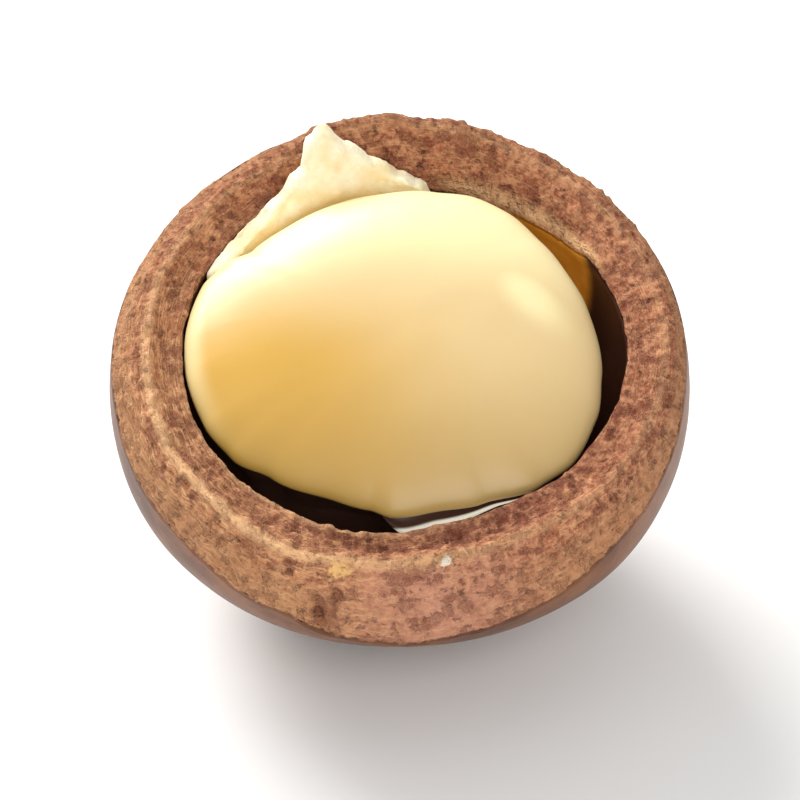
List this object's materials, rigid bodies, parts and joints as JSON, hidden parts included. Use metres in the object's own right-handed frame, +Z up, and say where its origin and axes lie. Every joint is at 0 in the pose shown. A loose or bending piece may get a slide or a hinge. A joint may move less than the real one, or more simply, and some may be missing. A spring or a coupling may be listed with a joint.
{
  "type": "macadamia nut in shell",
  "caption": "Round nut with its woody shell broken open round the top, the smooth kernel with a torn ledge still sitting in the cup.",
  "frame": {"origin": "centre of the small flat rest spot under the shell, on the surface it lies on", "axes": "+Z up; the open mouth leans 16 degrees from +Z towards -Y, which is the side the picture shows"},
  "size_m": [0.0248, 0.0239, 0.0189],
  "materials": {
    "shell": "satin brown skin, rough broken edge, glossy lining",
    "kernel": "satin, waxy cream"
  },
  "bodies": {
    "root": {"shell": "shell", "kernel": "kernel"}
  },
  "joints": []
}
